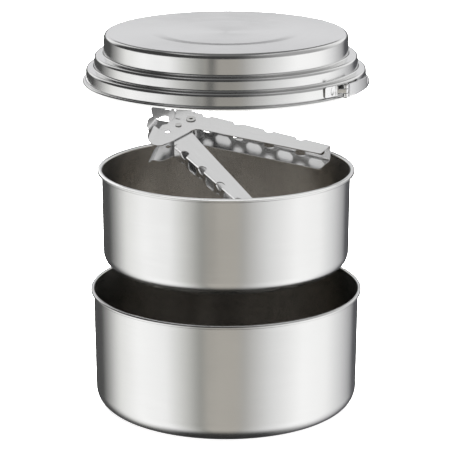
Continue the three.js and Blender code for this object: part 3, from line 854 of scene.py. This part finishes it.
SCREEN_FOOT, SCREEN_TOP = -58, -4  # the heights between which the side screens stand
GLOOM = (0.04, 0.04, 0.04)  # the room under the screens
BACKDROP = (0.87, 0.87, 0.885)  # white, behind the set, between the softboxes
BACKDROP_FOOT = 6
BACKDROP_RISE = (0.25, 0.45)  # between these y its foot rises from the screens' top
SOFTBOX = (1.12, 1.12, 1.12)  # reaches up on both sides of the set
STRIP = (0.20, 0.20, 0.20)  # the dim strip overhead, between the softboxes
STRIP_ENDS = {"front": -6, "back": 23}  # the heights that it reaches down to
STRIP_TURN = (-0.05, 0.05)  # between these y the front end's height gives way to the back end's
STRIP_SIDES = {"front": (0.06, 0.40), "back": (0.32, 0.50)}  # it fades between these x, left and right
STRIP_WIDENS = (-0.6, 0.4)  # between these y the front's sides give way to the back's
DUSK = (0.065, 0.065, 0.065)  # the unlit room in front, above the screens
DUSK_TOP = 62
DUSK_SHARES = [  # how dark it is, by turn
    (-180, 0), (-138, 0), (-122, 1), (0, 1), (30, 0.85), (60, 0.6), (100, 0.55), (135, 0),
]
POST = {"turn": -13, "half": 1.5, "foot": -12, "colour": (0.17, 0.17, 0.165)}  # dark, front left
SOFTNESS = {"screen_foot": 30, "screen_top": 5, "backdrop": 5, "strip": 7, "dusk_top": 12,
            "post_side": 5, "post_foot": 2, "post_top": 4}  # degrees over which each edge fades
LID_CARD = {"radius": 90, "glow": 0.95, "segments": 64}
ARC_CARD = {"radius": 104, "from": -120, "to": 70, "clearance": 3, "glow": 1.5, "segments": 24}
UNSEEN_BY = ("camera", "diffuse", "transmission", "volume_scatter", "shadow")  # rays that pass a card


def ramp(nodes, share, stops):
    """A colour ramp from stops of degrees and colour."""
    node = nodes.add("ShaderNodeValToRGB", {0: share})
    elements = node.color_ramp.elements
    while len(elements) < len(stops):
        elements.new(0.5)
    for element, (degrees, _) in zip(elements, stops):
        element.position = (degrees + 180) / 360
    for element, (_, colour) in zip(elements, stops):
        element.color = (*colour, 1)
    return node.outputs[0]


def studio():
    """What the steel mirrors and what lights the set, drawn as a function of direction."""
    world = bpy.data.worlds.new("studio")
    bpy.context.scene.world = world
    world.use_nodes = True
    n = Nodes(world.node_tree)

    def degrees(angle):
        return n.math("MULTIPLY", angle, math.degrees(1))

    way = n.add("ShaderNodeSeparateXYZ", {0: n.add("ShaderNodeTexCoord").outputs["Generated"]})
    x, y, z = way.outputs
    turn = n.math("ARCTAN2", x, n.math("MULTIPLY", y, -1.0))
    share = n.span(turn, -math.pi, math.pi, 0.0, 1.0)
    height = degrees(n.math("ARCSINE", z))

    def lit(stops):
        shares = [(d, [c / BRIGHTEST for c in colour]) for d, colour in stops]
        inputs = {0: ramp(n, share, shares), 1: (BRIGHTEST,) * 3}
        return n.add("ShaderNodeVectorMath", inputs, operation="MULTIPLY").outputs[0]

    def mixed(mask, lower, upper):
        mix = n.add("ShaderNodeMix", data_type="RGBA")
        n.tree.links.new(mask, mix.inputs[0])
        for socket, value in ((mix.inputs[6], lower), (mix.inputs[7], upper)):
            if isinstance(value, bpy.types.NodeSocket):
                n.tree.links.new(value, socket)
            else:
                socket.default_value = (*value, 1)
        return mix.outputs[2]

    def over(edge, kind):
        """1 above the edge's height and 0 below it, as soft as its kind says."""
        half = SOFTNESS[kind] / 2
        inputs = {"Value": height, "From Min": n.math("SUBTRACT", edge, half),
                  "From Max": n.math("ADD", edge, half)}
        return n.add("ShaderNodeMapRange", inputs, interpolation_type="SMOOTHSTEP").outputs[0]

    def under(edge, kind):
        return n.math("SUBTRACT", 1.0, over(edge, kind))

    strip_end = n.span(y, *STRIP_TURN, STRIP_ENDS["front"], STRIP_ENDS["back"])
    sides = [n.span(y, *STRIP_WIDENS, *pair) for pair in zip(STRIP_SIDES["front"], STRIP_SIDES["back"])]
    inputs = {"Value": n.math("ABSOLUTE", x), "From Min": sides[0], "From Max": sides[1],
              "To Min": 1.0, "To Max": 0.0}
    in_strip = n.add("ShaderNodeMapRange", inputs, interpolation_type="SMOOTHSTEP").outputs[0]
    foot = n.span(y, *BACKDROP_RISE, SCREEN_TOP, BACKDROP_FOOT)
    colour = mixed(over(SCREEN_FOOT, "screen_foot"), GLOOM, lit(SCREENS))
    colour = mixed(over(foot, "backdrop"), colour, mixed(in_strip, SOFTBOX, BACKDROP))

    overhead = n.math("MULTIPLY", in_strip, over(strip_end, "strip"))
    colour = mixed(overhead, colour, STRIP)

    in_front = ramp(n, share, [(turned, (c, c, c)) for turned, c in DUSK_SHARES])
    band = n.math("MULTIPLY", over(SCREEN_TOP, "screen_top"), under(DUSK_TOP, "dusk_top"))
    colour = mixed(n.math("MULTIPLY", in_front, band), colour, DUSK)

    aside = n.math("ABSOLUTE", n.math("SUBTRACT", degrees(turn), POST["turn"]))
    across = n.span(aside, POST["half"], POST["half"] + SOFTNESS["post_side"], 1.0, 0.0)
    along = n.math("MULTIPLY", over(POST["foot"], "post_foot"), under(0, "post_top"))
    colour = mixed(n.math("MULTIPLY", across, along), colour, POST["colour"])
    background = n.add("ShaderNodeBackground", {"Color": colour, "Strength": 1.0})
    n.add("ShaderNodeOutputWorld", {"Surface": background.outputs[0]})
    bpy.context.scene.view_settings.view_transform = "Standard"


def light_card(name, points, faces, glow):
    """A lit card that only mirrored rays see."""
    mesh = bpy.data.meshes.new(name)
    mesh.from_pydata(points, [], faces)
    card = bpy.data.objects.new(name, mesh)
    bpy.context.scene.collection.objects.link(card)
    material = bpy.data.materials.new(name)
    material.use_nodes = True
    n = Nodes(material.node_tree)
    emission = n.add("ShaderNodeEmission", {"Color": (glow, glow, glow, 1), "Strength": 1.0})
    n.add("ShaderNodeOutputMaterial", {"Surface": emission.outputs[0]})
    mesh.materials.append(material)
    for kind in UNSEEN_BY:
        setattr(card, "visible_" + kind, False)


def arc(radius, start, sweep, segments):
    """Points of an arc about the origin, in metres, with its angles in degrees from the front."""
    front = Vector((0, -radius * MM))
    return [rotated(front, math.radians(start + sweep * k / segments)) for k in range(segments + 1)]


def light_cards():
    """One card under the lid keeps the lid from being mirrored in the steel below it. The other, an
    arc round the front, lights the pot lifter and the small pot's inside."""
    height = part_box("lid")[0].z - MM
    segments = LID_CARD["segments"]
    disc = arc(LID_CARD["radius"], 0, 360, segments)[:-1]
    light_card("lid_card", [(p.x, p.y, height) for p in disc], [range(segments)], LID_CARD["glow"])

    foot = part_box("small_pot")[1].z + ARC_CARD["clearance"] * MM
    segments = ARC_CARD["segments"]
    band = arc(ARC_CARD["radius"], ARC_CARD["from"], ARC_CARD["to"] - ARC_CARD["from"], segments)
    points = [(p.x, p.y, z) for p in band for z in (foot, height)]
    faces = [(2 * k, 2 * k + 2, 2 * k + 3, 2 * k + 1) for k in range(segments)]
    light_card("arc_card", points, faces, ARC_CARD["glow"])


def floor_light():
    """A wide soft light overhead that whitens the floor and isn't mirrored in the steel."""
    data = bpy.data.lights.new("overhead", "AREA")
    data.shape = "DISK"
    data.size = FLOOR_LIGHT["size"]
    data.energy = FLOOR_LIGHT["energy"]
    light = bpy.data.objects.new("overhead", data)
    light.location = (0, 0, FLOOR_LIGHT["height"])
    light.visible_glossy = False
    bpy.context.scene.collection.objects.link(light)


camera()
pot("large_pot", LARGE_POT)
pot("small_pot", SMALL_POT)
lid()
grips()
lifter()
floor()
floor_light()
light_cards()
studio()
